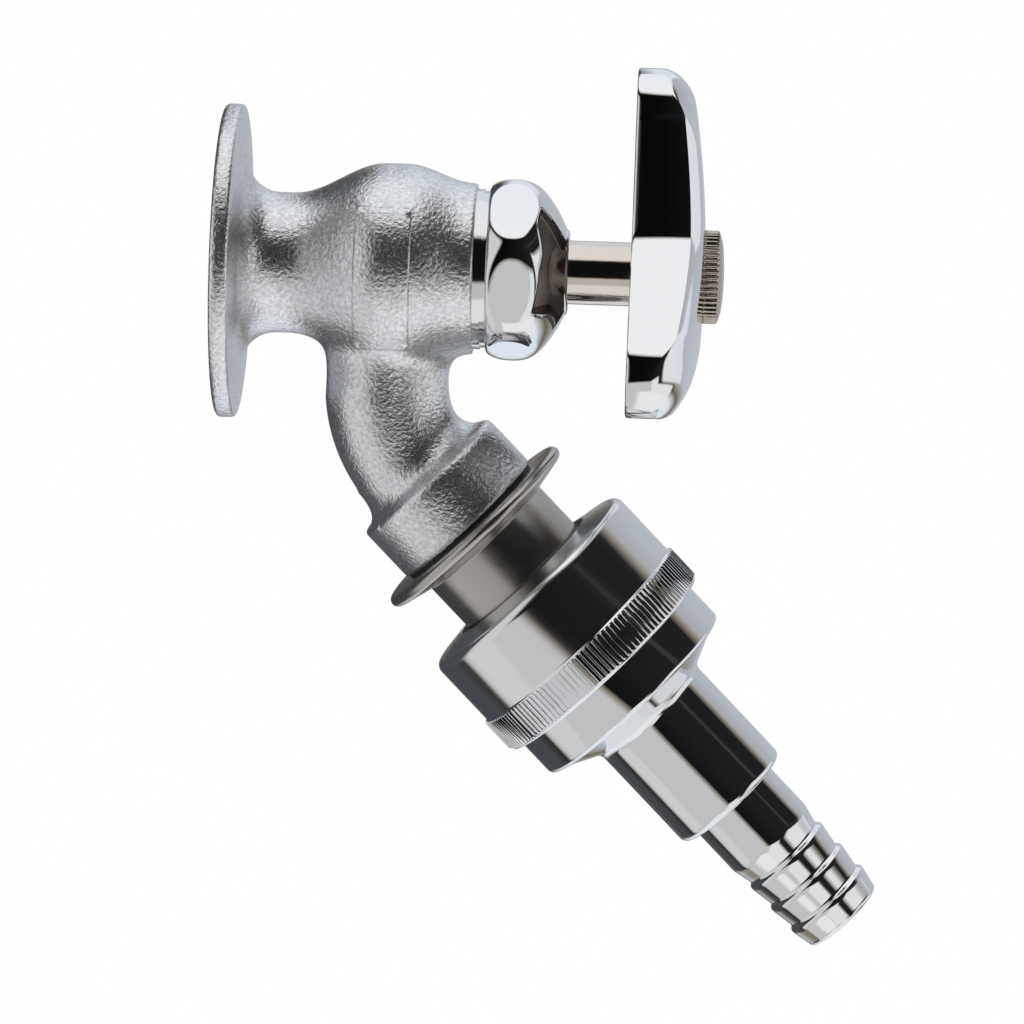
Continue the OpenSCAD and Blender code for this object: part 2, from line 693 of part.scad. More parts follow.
module nozzle() color([0.6, 0.58, 0.56]) on_outlet() difference() {
    turned(concat(
        [[nozzle_bore_d / 2, disc_x - nozzle_thread_len], [nozzle_thread_d / 2, disc_x - nozzle_thread_len]],
        [[nozzle_thread_d / 2, disc_x]],
        arc(disc_r - disc_t / 2, disc_x + disc_t / 2, disc_t / 2, -90, disc_sweep, 8),
        [[tube_r, disc_end], [tube_r, ball_x - ball_r]],
        [[ball_groove_r, ball_x - ball_r / 2], [ball_groove_r, ball_x + ball_r / 2]],
        [[tube_r, ball_x + ball_r]],
        [[tube_r, oring_x - oring_r - loose], [oring_groove_r, oring_x - oring_r - loose]],
        [[oring_groove_r, oring_x + oring_r + loose], [tube_r, oring_x + oring_r + loose]],
        [[tube_r, plug_end - plug_bevel], [tube_r - plug_bevel, plug_end]],
        [[nozzle_bore_d / 2, plug_end]]
    ));
}

module nozzle_oring() color([0.1, 0.1, 0.1]) on_outlet(oring_x)
    round_ring(tube_r + run - oring_r, oring_r);

module sleeve_wiper() color([0.3, 0.3, 0.31]) on_outlet(wiper_x)
    ring(wiper_r - run, tube_r + loose, wiper_t);

module coupling_sleeve() color([0.84, 0.85, 0.87]) on_outlet() turned(concat(
    [[wiper_r, mouth_x]],
    bow([sleeve_r - sleeve_round, mouth_x + sleeve_slope],
        [sleeve_r, mouth_x + sleeve_slope],
        [sleeve_r, mouth_x + sleeve_slope + sleeve_round]),
    [[sleeve_r, mouth_x + knurl_x - knurl_bevel], [knurl_r, mouth_x + knurl_x]],
    [[knurl_r, knurl_end], [knurl_r - knurl_bevel, sleeve_end]],
    [[sleeve_bore_r, sleeve_end], [sleeve_bore_r, land_end], [land_r, land_end], [land_r, land_x]],
    [[recess_r, land_x], [recess_r, mouth_x + sleeve_top_t], [wiper_r, mouth_x + sleeve_top_t]]
));

module sleeve_ring() color([0.7, 0.7, 0.72]) on_outlet(ring_x)
    ring(recess_r - ring_gap, ring_groove_r + run, ring_t);

module ball_places() for (i = [0:ball_count - 1]) rotate([0, 0, 360 * i / ball_count])
    translate([ball_orbit, 0, ball_x]) children();

module locking_balls() color([0.75, 0.76, 0.78]) on_outlet() ball_places() sphere(r = ball_r - run, $fn = 48);

// The spring is one tube swept along a helix, with rings of points across it
module release_spring() color([0.7, 0.7, 0.72]) on_outlet(spring_x + wire_d / 2) {
    steps_a_turn = 24;
    wire_sides = 6;
    rings = spring_turns * steps_a_turn;
    points = [
        for (i = [0:rings], j = [0:wire_sides - 1])
            let (
                a = 360 * i / steps_a_turn, b = 360 * j / wire_sides, r = spring_mean_r + wire_d / 2 * cos(b)
            )
            [r * cos(a), r * sin(a), spring_rise * i / rings + wire_d / 2 * sin(b)]
    ];
    walls = [
        for (i = [0:rings - 1], j = [0:wire_sides - 1])
            let (k = i * wire_sides, n = (j + 1) % wire_sides)
            each [[k + j, k + n, k + wire_sides + j], [k + n, k + wire_sides + n, k + wire_sides + j]]
    ];
    last = rings * wire_sides;
    first_cap = [for (j = [1:wire_sides - 2]) [0, j + 1, j]];
    last_cap = [for (j = [1:wire_sides - 2]) [last, last + j, last + j + 1]];
    polyhedron(points, concat(walls, first_cap, last_cap));
}

module coupling_socket() color([0.84, 0.85, 0.87]) on_outlet() difference() {
    turned(concat(
        [[0, socket_x], [socket_neck_r - knurl_bevel, socket_x], [socket_neck_r, socket_x + knurl_bevel]],
        [[socket_neck_r, ring_x], [ring_groove_r, ring_x]],
        [[ring_groove_r, ring_x + ring_t], [socket_neck_r, ring_x + ring_t]],
        [[socket_neck_r, spring_end], [socket_d / 2, spring_end]],
        bow([socket_d / 2, lower_end], [socket_d / 2, shoulder_x], [socket_d / 2 - socket_round, shoulder_x]),
        bow([step_d / 2 + step_fillet, shoulder_end - step_fillet / 2], [step_d / 2, shoulder_end],
            [step_d / 2, shoulder_end + step_fillet]),
        bow([step_d / 2, step_end - step_round], [step_d / 2, step_end], [tail_grip_r + step_face, step_end]),
        [[0, step_end]]
    ));
    translate([0, 0, socket_x - over]) cylinder(r = socket_bore_r, h = socket_floor - socket_x + over);
    translate([0, 0, socket_floor - eps]) cylinder(d = throat_d, h = tail_x - socket_floor + over);
    translate([0, 0, tail_x]) cylinder(r = tail_grip_r + run, h = tail_grip + over);
    ball_places() rotate([0, 90, 0]) cylinder(r = ball_r, h = 2 * ball_d, center = true);
}

module socket_seal() color([0.1, 0.1, 0.1]) on_outlet(seal_x)
    ring(socket_bore_r - loose, nozzle_bore_d / 2, socket_seal_t);

module tail_oring() color([0.1, 0.1, 0.1]) on_outlet(tail_oring_x)
    round_ring(tail_grip_r + run - tail_oring_r, tail_oring_r);

module hose_tail() color([0.84, 0.85, 0.87]) on_outlet() turned(concat(
    [[tail_bore_d / 2, tail_x + run], [tail_grip_r, tail_x + run]],
    [[tail_grip_r, tail_oring_x - tail_oring_r - run]],
    [[tail_groove_r, tail_oring_x - tail_oring_r - run], [tail_groove_r, tail_oring_x + tail_oring_r + run]],
    [[tail_grip_r, tail_oring_x + tail_oring_r + run], [tail_grip_r, step_end]],
    [[tail_d / 2, step_end], [tail_d / 2, tail_neck_end]],
    [for (i = [0:barb_count - 1]) each [
        [barb_root_d / 2, barb_x + i * barb_pitch], [barb_d / 2, barb_x + i * barb_pitch + barb_rise],
        [barb_d / 2, barb_x + i * barb_pitch + barb_rise + barb_crest]
    ]],
    bow([barb_root_d / 2, tail_end - tip_round], [barb_root_d / 2, tail_end], [tip_d / 2, tail_end], 4),
    [[tail_bore_d / 2, tail_end]]
));

tap_body();
bonnet_washer();
bonnet_gasket();
bonnet();
packing_washer();
stem_packing();
spindle();
handle();
handle_cap();
jumper();
jumper_washer();
jumper_nut();
nozzle_gasket();
nozzle();
nozzle_oring();
sleeve_wiper();
coupling_sleeve();
sleeve_ring();
locking_balls();
release_spring();
coupling_socket();
socket_seal();
tail_oring();
hose_tail();
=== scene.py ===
import math

import bmesh
import bpy
import numpy as np
from mathutils import Matrix, Vector
from mathutils.bvhtree import BVHTree


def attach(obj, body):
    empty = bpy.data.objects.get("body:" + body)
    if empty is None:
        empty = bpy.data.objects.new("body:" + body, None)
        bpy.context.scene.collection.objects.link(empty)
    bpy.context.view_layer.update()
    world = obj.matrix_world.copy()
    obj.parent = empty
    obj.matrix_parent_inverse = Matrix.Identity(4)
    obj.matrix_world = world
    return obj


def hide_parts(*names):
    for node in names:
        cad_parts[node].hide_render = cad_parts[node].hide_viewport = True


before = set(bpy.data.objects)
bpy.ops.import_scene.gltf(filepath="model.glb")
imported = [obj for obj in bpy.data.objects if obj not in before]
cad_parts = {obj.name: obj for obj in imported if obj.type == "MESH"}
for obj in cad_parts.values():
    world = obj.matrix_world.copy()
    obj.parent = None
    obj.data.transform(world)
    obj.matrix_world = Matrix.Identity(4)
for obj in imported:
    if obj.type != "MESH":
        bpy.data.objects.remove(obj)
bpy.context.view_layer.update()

# Camera: a long lens a little over the tap's centre line and slightly to its handle side, rolled as the
# photograph is.
azimuth, elevation, roll = math.radians(1.9), math.radians(8.781), math.radians(1.806)
distance, aim = 0.96979, Vector((0.05134, 0, -0.04204))
forward = Vector((
    -math.sin(azimuth) * math.cos(elevation),
    math.cos(azimuth) * math.cos(elevation),
    -math.sin(elevation),
))
level = Vector((math.cos(azimuth), math.sin(azimuth), 0))
upright = level.cross(forward)
right = math.cos(roll) * level + math.sin(roll) * upright
up = right.cross(forward)
turned = Matrix((right, up, -forward)).transposed().to_4x4()
camera = bpy.data.objects.new("camera", bpy.data.cameras.new("camera"))
camera.data.lens = 196.9
camera.data.sensor_width = 36
camera.matrix_world = Matrix.Translation(aim - distance * forward) @ turned
bpy.context.collection.objects.link(camera)
bpy.context.scene.camera = camera
bpy.context.scene.view_settings.view_transform = "Standard"

# Studio: a room drawn from the direction alone. White panels hang overhead, under the tap and behind it,
# light grey ones stand low in front and at both sides, and the rest of the front is nearly black but for
# one faint strip. The background itself is plain white to the camera.
studio = bpy.data.worlds.new("studio")
bpy.context.scene.world = studio
studio.use_nodes = True
nodes, links = studio.node_tree.nodes, studio.node_tree.links
nodes.clear()
coordinates = nodes.new("ShaderNodeTexCoord")
direction = nodes.new("ShaderNodeSeparateXYZ")
links.new(coordinates.outputs["Generated"], direction.inputs[0])
x, y, z = direction.outputs


def world_math(operation, *values):
    """One Math node of the studio's shader, with numbers or sockets put in."""
    node = nodes.new("ShaderNodeMath")
    node.operation = operation
    for socket, value in zip(node.inputs, values):
        if isinstance(value, (int, float)):
            socket.default_value = value
        else:
            links.new(value, socket)
    return node.outputs[0]


def over(value, low, high):
    """0 under low, 1 over high, and a straight ramp between them."""
    share = world_math("DIVIDE", world_math("SUBTRACT", value, low), high - low)
    return world_math("MINIMUM", world_math("MAXIMUM", share, 0), 1)


def short_of(value, edge, ramp):
    """0 past the edge, and 1 where the value is short of it by the ramp or more."""
    return over(world_math("SUBTRACT", edge, value), 0, ramp)


def overlap(first, *others):
    """Where all of the masks meet."""
    for mask in others:
        first = world_math("MULTIPLY", first, mask)
    return first


down, leftward = world_math("SUBTRACT", 0, z), world_math("SUBTRACT", 0, x)
overhead = overlap(over(z, 0.76, 0.84), short_of(x, 0.50, 0.10))
table_top = over(world_math("SUBTRACT", world_math("MULTIPLY", x, 0.2), z), 0.17, 0.26)
table_end = world_math("MAXIMUM", short_of(x, 0.62, 0.08), over(down, 0.32, 0.38))
table = overlap(table_top, short_of(y, 0.16, 0.1), table_end)
bright_table = overlap(table, over(x, 0.05, 0.20))
under = overlap(over(down, 0.44, 0.66), over(x, -0.40, -0.15))
left_side = overlap(over(leftward, 0.38, 0.54), short_of(y, 0.10, 0.1), short_of(z, 0.70, 0.1))
behind = overlap(over(y, 0.05, 0.30), over(z, -0.55, -0.25), over(x, -0.25, -0.05))
behind_level = world_math("ADD", 0.42, world_math("MULTIPLY", over(y, 0.15, 0.7), 0.13))
high_behind = overlap(behind, over(z, 0.20, 0.42), short_of(x, 0.50, 0.15))
right_side = overlap(over(x, 0.72, 0.82), short_of(z, 0.35, 0.1), over(z, -0.35, -0.25))
strip = overlap(over(z, 0.47, 0.49), short_of(z, 0.53, 0.02), over(x, 0.50, 0.55))
dark = world_math("ADD", 0.003, world_math("MULTIPLY", over(x, -0.20, 0.60), 0.012))
brightness = world_math("MAXIMUM", dark, world_math("MULTIPLY", over(y, 0.0, 0.4), 0.07))
for panel, panel_level in (
    (strip, 0.042),
    (overhead, 0.98),
    (table, 0.60),
    (bright_table, 0.84),
    (under, 0.90),
    (left_side, 0.68),
    (behind, behind_level),
    (high_behind, 0.86),
    (right_side, 0.84),
):
    brightness = world_math("MAXIMUM", brightness, world_math("MULTIPLY", panel, panel_level))
lit = nodes.new("ShaderNodeValToRGB")
lit.color_ramp.elements[0].color = (0, 0, 0, 1)
lit.color_ramp.elements[1].color = (0.98, 0.99, 1, 1)
for level_at, shade in (
    (0.08, (0.078, 0.08, 0.084)),
    (0.16, (0.19, 0.155, 0.115)),
    (0.30, (0.34, 0.30, 0.24)),
    (0.44, (0.44, 0.44, 0.44)),
    (0.60, (0.60, 0.605, 0.61)),
):
    lit.color_ramp.elements.new(level_at).color = (*shade, 1)
links.new(brightness, lit.inputs["Fac"])
cool = nodes.new("ShaderNodeMix")
cool.data_type, cool.blend_type = "RGBA", "MULTIPLY"
mix_by, mix_first, mix_second, mixed = cool.inputs[0], cool.inputs[6], cool.inputs[7], cool.outputs[2]
mix_second.default_value = (0.92, 0.97, 1.04, 1)
links.new(over(y, 0.05, 0.6), mix_by)
links.new(lit.outputs["Color"], mix_first)
seen_by = nodes.new("ShaderNodeLightPath")
room = nodes.new("ShaderNodeBackground")
white = nodes.new("ShaderNodeBackground")
white.inputs["Color"].default_value = (1, 1, 1, 1)
choice = nodes.new("ShaderNodeMixShader")
links.new(mixed, room.inputs["Color"])
links.new(seen_by.outputs["Is Camera Ray"], choice.inputs["Fac"])
links.new(room.outputs[0], choice.inputs[1])
links.new(white.outputs[0], choice.inputs[2])
links.new(choice.outputs[0], nodes.new("ShaderNodeOutputWorld").inputs["Surface"])

# Floor: a plain pale sheet well under the tap. The camera sees it as the white it stands on, and no
# mirror sees it.
floor_half, floor_z = 3.0, -0.42
floor_corners = [
    (side_x * floor_half, side_y * floor_half, floor_z)
    for side_x, side_y in ((-1, -1), (1, -1), (1, 1), (-1, 1))
]
mesh = bpy.data.meshes.new("floor")
mesh.from_pydata(floor_corners, [], [(0, 1, 2, 3)])
floor = bpy.data.objects.new("floor", mesh)
bpy.context.collection.objects.link(floor)
paper = bpy.data.materials.new("white_paper")
paper.use_nodes = True
nodes, links = paper.node_tree.nodes, paper.node_tree.links
nodes.clear()
seen_by = nodes.new("ShaderNodeLightPath")
glow = nodes.new("ShaderNodeEmission")
glow.inputs["Color"].default_value = (1, 1, 1, 1)
unseen = nodes.new("ShaderNodeBsdfTransparent")
choice = nodes.new("ShaderNodeMixShader")
links.new(seen_by.outputs["Is Camera Ray"], choice.inputs["Fac"])
links.new(unseen.outputs[0], choice.inputs[1])
links.new(glow.outputs[0], choice.inputs[2])
links.new(choice.outputs[0], nodes.new("ShaderNodeOutputMaterial").inputs["Surface"])
floor.data.materials.append(paper)

# Plated metal: the node group that every plated piece wears. It puts out a roughness that varies with
# dull spots in the plating, and a normal that is a little wavy from the buffing.
plating = bpy.data.node_groups.new("plating", "ShaderNodeTree")
for name, usual in (("Roughness", 0.04), ("Spots", 0.03), ("Waviness", 0.02), ("Wave Scale", 220.0)):
    plating.interface.new_socket(name, in_out="INPUT", socket_type="NodeSocketFloat").default_value = usual
plating.interface.new_socket("Roughness", in_out="OUTPUT", socket_type="NodeSocketFloat")
plating.interface.new_socket("Normal", in_out="OUTPUT", socket_type="NodeSocketVector")
nodes, links = plating.nodes, plating.links
given, result = nodes.new("NodeGroupInput"), nodes.new("NodeGroupOutput")
place = nodes.new("ShaderNodeTexCoord")
cloud = nodes.new("ShaderNodeTexNoise")
cloud.inputs["Scale"].default_value = 340
cloud.inputs["Detail"].default_value = 6
links.new(place.outputs["Object"], cloud.inputs["Vector"])
spread = nodes.new("ShaderNodeMath")
spread.operation = "MULTIPLY_ADD"
links.new(cloud.outputs["Fac"], spread.inputs[0])
links.new(given.outputs["Spots"], spread.inputs[1])
links.new(given.outputs["Roughness"], spread.inputs[2])
links.new(spread.outputs[0], result.inputs["Roughness"])
wave = nodes.new("ShaderNodeTexNoise")
wave.inputs["Detail"].default_value = 1
links.new(place.outputs["Object"], wave.inputs["Vector"])
links.new(given.outputs["Wave Scale"], wave.inputs["Scale"])
bump = nodes.new("ShaderNodeBump")
bump.inputs["Distance"].default_value = 0.001
links.new(given.outputs["Waviness"], bump.inputs["Strength"])
links.new(wave.outputs["Fac"], bump.inputs["Height"])
links.new(bump.outputs["Normal"], result.inputs["Normal"])


def plated(name, colour, roughness, spots=0.03, waviness=0.02, wave_scale=220.0):
    """A metal under plating: its colour, its polish and how wavy it was buffed."""
    material = bpy.data.materials.new(name)
    material.use_nodes = True
    tree = material.node_tree
    surface = tree.nodes["Principled BSDF"]
    surface.inputs["Base Color"].default_value = (*colour, 1)
    surface.inputs["Metallic"].default_value = 1
    group = tree.nodes.new("ShaderNodeGroup")
    group.node_tree = plating
    group.inputs["Roughness"].default_value = roughness
    group.inputs["Spots"].default_value = spots
    group.inputs["Waviness"].default_value = waviness
    group.inputs["Wave Scale"].default_value = wave_scale
    tree.links.new(group.outputs["Roughness"], surface.inputs["Roughness"])
    tree.links.new(group.outputs["Normal"], surface.inputs["Normal"])
    return material


chrome = plated("mirror_chrome", (0.86, 0.865, 0.875), 0.015, 0.03, 0.012, 160)

# Body: brass cast in sand, ground only on the sealing faces, then nickelled and chromed over the cast
# skin. It is the CAD casting remeshed, with the inside corners swelled as a foundry's pattern fillets
# them, and without the CAD's own raised plate, which the next section lays on.
voxel = 0.00045
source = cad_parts["tap_body"]
cast = bmesh.new()
cast.from_mesh(source.data)
bmesh.ops.remove_doubles(cast, verts=cast.verts, dist=1e-6)
mesh = bpy.data.meshes.new("cast_body")
cast.to_mesh(mesh)
cast.free()
body = bpy.data.objects.new("cast_body", mesh)
bpy.context.collection.objects.link(body)
bpy.context.view_layer.objects.active = body
remesh = body.modifiers.new("remesh", "REMESH")
remesh.mode = "VOXEL"
remesh.voxel_size = voxel
bpy.ops.object.modifier_apply(modifier="remesh")
points = np.empty(len(body.data.vertices) * 3)
body.data.vertices.foreach_get("co", points)
points = points.reshape(-1, 3)
at_x, at_y, at_z = points.T
neck_r, bulb_r, boss_r = 0.0121, 0.0177, 0.01475
swell_from, swell_length, fall_from, fall_length = 0.0122, 0.016, 0.0317, 0.0115
swell = 1 - np.cos(np.pi * np.clip((at_x - swell_from) / swell_length, 0, 1))
fall = 1 - np.cos(np.pi * np.clip((at_x - fall_from) / fall_length, 0, 1))
plain_r = np.where(
    at_x < fall_from,
    neck_r + (bulb_r - neck_r) / 2 * swell,
    bulb_r - (bulb_r - boss_r) / 2 * fall,
)
off_inlet = np.hypot(at_y, at_z)
plate_x, plate_z = (0.0235, 0.0333), (-0.0132, 0.0115)
clear_x, clear_z = 0.001, 0.00105


def between(values, low, high):
    """Mask of the values that lie between two limits."""
    return (values > low) & (values < high)


over_plate = between(at_x, plate_x[0] - clear_x, plate_x[1] + clear_x)
over_plate &= between(at_z, plate_z[0] - clear_z, plate_z[1] + clear_z)
raised = over_plate & (at_y < 0) & (off_inlet > plain_r)
points[raised, 1:] *= (plain_r / off_inlet)[raised, None]
body.data.vertices.foreach_set("co", points.ravel())
leg_x, elbow_z, diagonal = 0.0291, -0.0289, math.sqrt(0.5)
along = ((at_x - leg_x) - (at_z - elbow_z)) * diagonal
off_outlet = np.hypot(((at_x - leg_x) + (at_z - elbow_z)) * diagonal, at_y)
off_leg = np.hypot(at_x - leg_x, at_y)
waterway_r, inlet_r, outlet_from, leg_top = 0.0092, 0.0105, -0.011, -0.008
outside = (off_outlet > waterway_r) | (along < outlet_from)
outside &= (off_leg > waterway_r) | (at_z > leg_top)
outside &= off_inlet > inlet_r
near_boss = outside & between(at_z, -0.0225, -0.006) & between(at_x, 0.0125, 0.0434)
near_collar = outside & between(along, 0.0015, 0.0086) & (at_z < -0.012)
collar_rim = outside & between(along, 0.0060, 0.0128) & (off_outlet > 0.0105)
beside_leg = ~between(at_x, 0.0235, 0.0365)
for name, where, times in (
    ("corners", near_boss & beside_leg & (at_z < -0.0095), 120),
    ("boss", near_boss & (at_z > -0.0205), 60),
    ("fillets", near_boss | near_collar, 60),
    ("collar_rim", collar_rim, 45),
):
    group = body.vertex_groups.new(name=name)
    group.add(np.nonzero(where)[0].tolist(), 1.0, "REPLACE")
    fillet = body.modifiers.new(name, "SMOOTH")
    fillet.factor, fillet.iterations, fillet.vertex_group = 0.5, times, name
    bpy.ops.object.modifier_apply(modifier=name)
skin = body.modifiers.new("skin", "SMOOTH")
skin.factor, skin.iterations = 0.5, 2
bpy.ops.object.modifier_apply(modifier="skin")
body.vertex_groups.clear()
body.data.shade_smooth()
cast_nickel = bpy.data.materials.new("cast_nickel")
cast_nickel.use_nodes = True
nodes, links = cast_nickel.node_tree.nodes, cast_nickel.node_tree.links
surface = nodes["Principled BSDF"]
surface.inputs["Metallic"].default_value = 0.9
surface.inputs["Roughness"].default_value = 0.22
place = nodes.new("ShaderNodeTexCoord")
pears = nodes.new("ShaderNodeTexNoise")
pears.inputs["Scale"].default_value = 1500
pears.inputs["Detail"].default_value = 4
pears.inputs["Roughness"].default_value = 0.45
links.new(place.outputs["Object"], pears.inputs["Vector"])
grain = nodes.new("ShaderNodeTexNoise")
grain.inputs["Scale"].default_value = 3200
grain.inputs["Detail"].default_value = 2
links.new(place.outputs["Object"], grain.inputs["Vector"])
coarse = nodes.new("ShaderNodeBump")
coarse.inputs["Strength"].default_value = 0.27
coarse.inputs["Distance"].default_value = 0.0006
links.new(pears.outputs["Fac"], coarse.inputs["Height"])
fine = nodes.new("ShaderNodeBump")
fine.inputs["Strength"].default_value = 0.2
fine.inputs["Distance"].default_value = 0.0003
links.new(grain.outputs["Fac"], fine.inputs["Height"])
links.new(coarse.outputs["Normal"], fine.inputs["Normal"])
links.new(fine.outputs["Normal"], surface.inputs["Normal"])
tint = nodes.new("ShaderNodeValToRGB")
hollows, crests = tint.color_ramp.elements
hollows.position, hollows.color = 0.3, (0.67, 0.675, 0.69, 1)
crests.position, crests.color = 0.7, (0.925, 0.925, 0.935, 1)
links.new(pears.outputs["Fac"], tint.inputs["Fac"])
links.new(tint.outputs["Color"], surface.inputs["Base Color"])
body.data.materials.clear()
body.data.materials.append(cast_nickel)

# Raised plate on the body's side, left bare: a low rim round a slightly sunken field, cast with the
# body and laid on its skin here.
skin_points = [vertex.co.copy() for vertex in body.data.vertices]
ground = BVHTree.FromPolygons(skin_points, [tuple(face.vertices) for face in body.data.polygons])
plate_rise, field_share, rim_width = 0.0006, 0.48, 0.0014
edge = np.array([0, 0.00004, 0.00028, 0.00052, 0.00074, 0.00098, 0.00120])
rim = plate_rise * np.array([-1, 0.20, 0.72, 1, 1, 0.75, 0.52])
lines, rises = [], []
for (low, high), count in ((plate_x, 56), (plate_z, 130)):
    field = np.linspace(low + rim_width, high - rim_width, count)
    lines.append(np.concatenate((low + edge, field, high - edge[::-1])))
    rises.append(np.concatenate((rim, np.full(count, field_share * plate_rise), rim[::-1])))
ray_from, inwards_y = -0.06, Vector((0, 1, 0))
verts = []
for place_z, rise_z in zip(lines[1], rises[1]):
    for place_x, rise_x in zip(lines[0], rises[0]):
        hit = ground.ray_cast(Vector((place_x, ray_from, place_z)), inwards_y)[0]
        verts.append((place_x, hit.y - min(rise_x, rise_z), place_z))
columns, rows = len(lines[0]), len(lines[1])
faces = [
    (j * columns + i, j * columns + i + 1, (j + 1) * columns + i + 1, (j + 1) * columns + i)
    for j in range(rows - 1)
    for i in range(columns - 1)
]


def turn_outwards(mesh):
    """Points every face of a closed mesh away from its inside."""
    work = bmesh.new()
    work.from_mesh(mesh)
    bmesh.ops.recalc_face_normals(work, faces=work.faces)
    work.to_mesh(mesh)
    work.free()


def smooth_piece(name, verts, faces, sharp_angle, outwards=False):
    """An object of these points and faces, smooth but for the edges that bend more than the angle."""
    mesh = bpy.data.meshes.new(name)
    mesh.from_pydata(verts, [], faces)
    if outwards:
        turn_outwards(mesh)
    mesh.shade_smooth()
    mesh.set_sharp_from_angle(angle=math.radians(sharp_angle))
    piece = bpy.data.objects.new(name, mesh)
    bpy.context.collection.objects.link(piece)
    return piece


plate = smooth_piece("side_plate", verts, faces, 50)
plate.data.materials.append(cast_nickel)
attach(plate, "tap")
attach(body, "tap")
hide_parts("tap_body")

# Cover nut: a forged hexagon, turned to a dome at both ends and mirror polished, so every edge of a
# flat is soft. Each point's radius is the smaller of the hexagon's and the dome's, blended where the
# two meet.
back, length, across_flats, turned_by, blend = 0.0459, 0.0139, 0.0288, math.radians(25), 0.0008
crown_at, crown_r, nose_r, lip = 0.0044, 0.0158, 0.0074, 0.0006
crown_fall, crown_power = 0.0488e-3, 2.34
stem_hole_r, cup_depth, cup_r = 0.0056, 0.0054, 0.01245
steps, rows = 360, 120
along_nut = length * np.linspace(0, 1, rows + 1)
dome = np.maximum(crown_r - crown_fall * (np.abs(along_nut - crown_at) * 1000) ** crown_power, nose_r)
for from_end in (along_nut, length - along_nut):
    dome -= lip * (1 - np.sqrt(1 - np.clip(1 - from_end / lip, 0, 1) ** 2))
turns = [2 * math.pi * i / steps for i in range(steps)]
rings = []
for place, profile in zip(along_nut, dome):
    ring = []
    for a in turns:
        hexagon = across_flats / 2 / math.cos((a + turned_by) % (math.pi / 3) - math.pi / 6)
        lesser = min(hexagon, profile) - max(blend - abs(hexagon - profile), 0) ** 2 / (4 * blend)
        ring.append((back + place, lesser * math.cos(a), lesser * math.sin(a)))
    rings.append(ring)
for place, r in ((length, stem_hole_r), (cup_depth, stem_hole_r), (cup_depth, cup_r), (0, cup_r)):
    rings.append([(back + place, r * math.cos(a), r * math.sin(a)) for a in turns])


def ring_faces(rings, steps, closed=True, turned=False):
    """Faces between rings of points in a row; a closed row joins its last ring to the first."""
    faces = []
    for j in range(rings if closed else rings - 1):
        here, ahead = j * steps, (j + 1) % rings * steps
        for i in range(steps):
            beside = (i + 1) % steps
            face = (here + i, here + beside, ahead + beside, ahead + i)
            faces.append((face[0], face[3], face[2], face[1]) if turned else face)
    return faces


verts = [point for ring in rings for point in ring]
cover_nut = smooth_piece("cover_nut", verts, ring_faces(len(rings), steps), 40)
cover_nut.data.materials.append(chrome)
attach(cover_nut, "tap")
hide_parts("bonnet")

# Handle: zinc die-cast with three arms, hollow underneath, polished and chromed. Its skin runs in from
# the outline to the hub in rings: a crowned top, edges rounded more at the arm ends than along the
# sides, and a bevelled rim. Its sizes are in millimetres, but for its foot's distance from the wall.
foot, height, reach, end_r, waist, wall = 0.0706, 12.4, 28.0, 7.6, 15.5, 2.2
hub_r, hub_foot, bore_r, seat_r, seat_depth, rim_foot = 7.5, 0.7, 4.35, 8.55, 0.2, 0.3
half = math.radians(60)
waist_point = Vector((waist * math.cos(half), -waist * math.sin(half)))
gap = math.hypot(reach - waist_point.x, waist_point.y)
side = math.atan2(-waist_point.y, reach - waist_point.x) - math.asin(end_r / gap)
tangent = Vector((reach + end_r * math.sin(side), -end_r * math.cos(side)))
side_points, end_points = 24, 61
one_arm = [waist_point.lerp(tangent, i / side_points) for i in range(side_points)]
one_arm += [
    Vector((reach + end_r * math.cos(a), end_r * math.sin(a)))
    for a in np.linspace(side - math.pi / 2, math.pi / 2 - side, end_points)
]
one_arm += [Vector((p.x, -p.y)) for p in one_arm[side_points - 1 : 0 : -1]]
outline = np.array([
    (p.x * math.cos(turn) - p.y * math.sin(turn), p.x * math.sin(turn) + p.y * math.cos(turn))
    for turn in (0, 2 * half, 4 * half)
    for p in one_arm
])
for _ in range(6):
    outline[:] = (np.roll(outline, 1, 0) + 2 * outline + np.roll(outline, -1, 0)) / 4
count = len(outline)
radius = np.hypot(*outline.T)
angle = np.arctan2(outline[:, 1], outline[:, 0])
tip_from = 29
tip = np.clip((radius - tip_from) / (reach + end_r - tip_from), 0, 1)
tip = tip * tip * (3 - 2 * tip)
bevel_width, bevel_height, bevel_power, end_width, end_height = 3.9, 1.9, 1.6, 6.4, 5.2
crown_flat_r, crown_span, crown_stop, crown_drop, crown_power = 8, 24, 1.2, 2.7, 1.5


def crowned(points_2d, inward):
    """Height of the handle's top at points inward of the outline: the crown, less the rounded edge."""
    r = np.hypot(*points_2d.T)
    crown = height - crown_drop * np.clip((r - crown_flat_r) / crown_span, 0, crown_stop) ** crown_power
    bevel = bevel_height * np.clip(1 - inward / bevel_width, 0, 1) ** bevel_power
    rounding = end_height * (1 - np.sqrt(1 - np.clip(1 - inward / end_width, 0, 1) ** 2))
    return crown - bevel * (1 - tip) - rounding * tip


def inward_of(points_2d):
    """Distance from each point to the outline's nearest stretch."""
    a, b = outline, np.roll(outline, -1, 0)
    along_edge = np.clip(((points_2d[:, None] - a) * (b - a)).sum(2) / ((b - a) ** 2).sum(1), 0, 1)
    return np.hypot(*np.moveaxis(points_2d[:, None] - (a + along_edge[..., None] * (b - a)), 2, 0)).min(1)


def circle_of(r):
    """Points on a circle round the hub, one for each point of the outline."""
    return np.stack([r * np.cos(angle), r * np.sin(angle)], 1)


